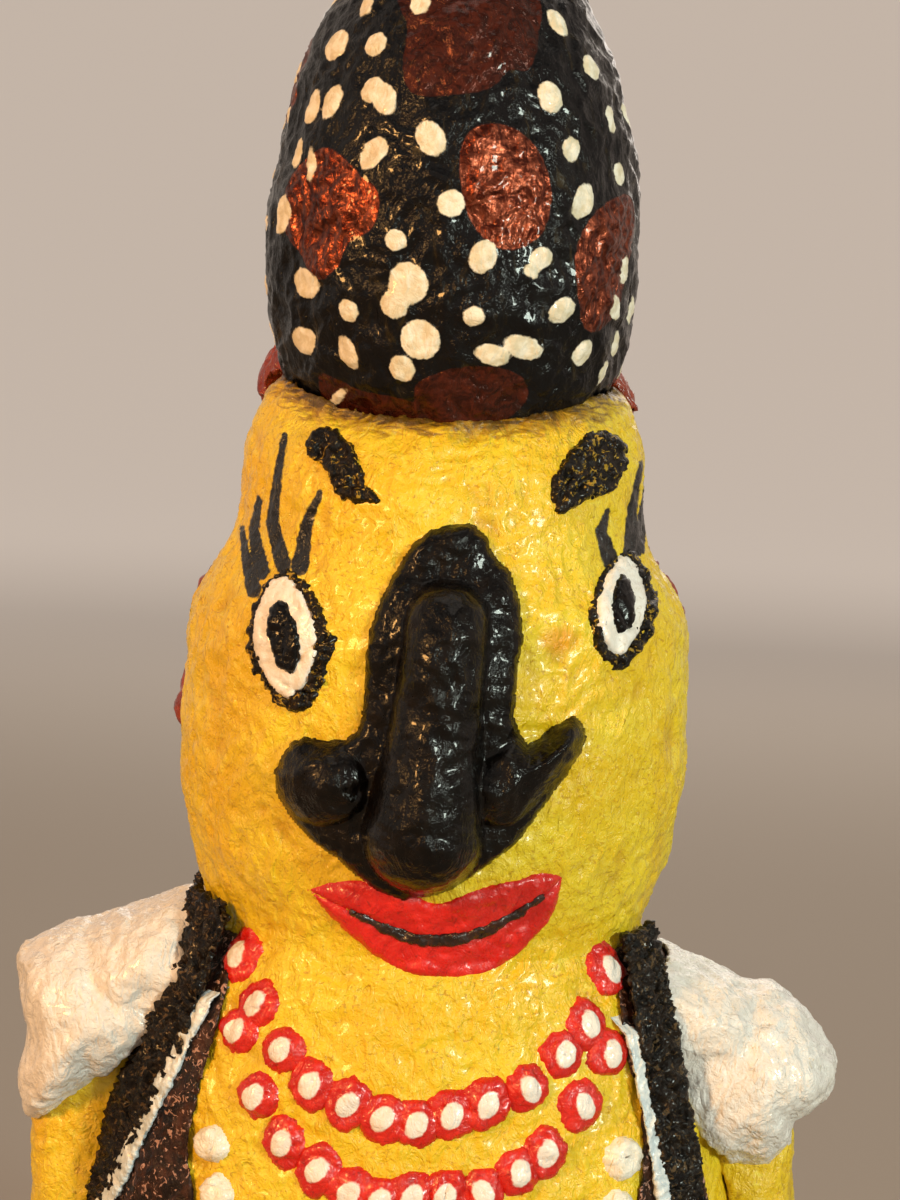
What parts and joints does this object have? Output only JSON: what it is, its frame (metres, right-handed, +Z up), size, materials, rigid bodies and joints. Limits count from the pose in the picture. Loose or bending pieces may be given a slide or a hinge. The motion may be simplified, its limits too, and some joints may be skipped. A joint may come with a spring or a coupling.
{
  "type": "figural hood ornament",
  "caption": "Painted paper-pulp half figure of a woman in a tall spotted headwrap, on an oval wooden base with a gasket and two threaded inserts underneath.",
  "frame": {"origin": "middle of the underside of the base gasket, on the surface that the figure stands on", "axes": "+Z up through the figure, -Y towards the viewer of the face, her right arm at -X"},
  "size_m": [0.1032, 0.074, 0.2094],
  "materials": {
    "gasket_rubber": "matte",
    "plinth_wood": "gloss painted",
    "insert_brass": "satin",
    "screw_steel": "zinc plated",
    "dowel_wood": "raw",
    "newspaper": "crumpled",
    "yellow_pulp": "gloss painted, rough",
    "hat_pulp": "gloss painted, rough",
    "hair_pulp": "gloss painted, rough",
    "black_pulp": "gloss painted, rough",
    "eye_white": "gloss painted",
    "lip_red": "gloss painted",
    "bodice_pulp": "gloss painted, rough",
    "white_pulp": "satin painted, rough",
    "piping_paint": "gloss painted",
    "bead_pulp": "gloss painted"
  },
  "bodies": {
    "root": {"base_gasket": "gasket_rubber", "base_plinth": "plinth_wood", "mount_inserts": "insert_brass", "base_screw": "screw_steel", "screw_washer": "screw_steel", "arm_wire": "screw_steel", "spine_dowel": "dowel_wood", "torso_core": "newspaper", "head_core": "newspaper", "hat_core": "newspaper", "torso_skin": "yellow_pulp", "head_skin": "yellow_pulp", "left_arm": "yellow_pulp", "right_arm": "yellow_pulp", "hat_shell": "hat_pulp", "hair": "hair_pulp", "nose": "black_pulp", "left_brow": "black_pulp", "right_brow": "black_pulp", "left_eye_rim": "black_pulp", "right_eye_rim": "black_pulp", "left_pupil": "black_pulp", "right_pupil": "black_pulp", "left_strap": "black_pulp", "right_strap": "black_pulp", "left_eyeball": "eye_white", "right_eyeball": "eye_white", "upper_lip": "lip_red", "lower_lip": "lip_red", "bodice": "bodice_pulp", "left_sleeve": "white_pulp", "right_sleeve": "white_pulp", "neckline_scallops": "white_pulp", "left_piping": "piping_paint", "right_piping": "piping_paint", "upper_necklace": "bead_pulp", "lower_necklace": "bead_pulp"}
  },
  "joints": []
}
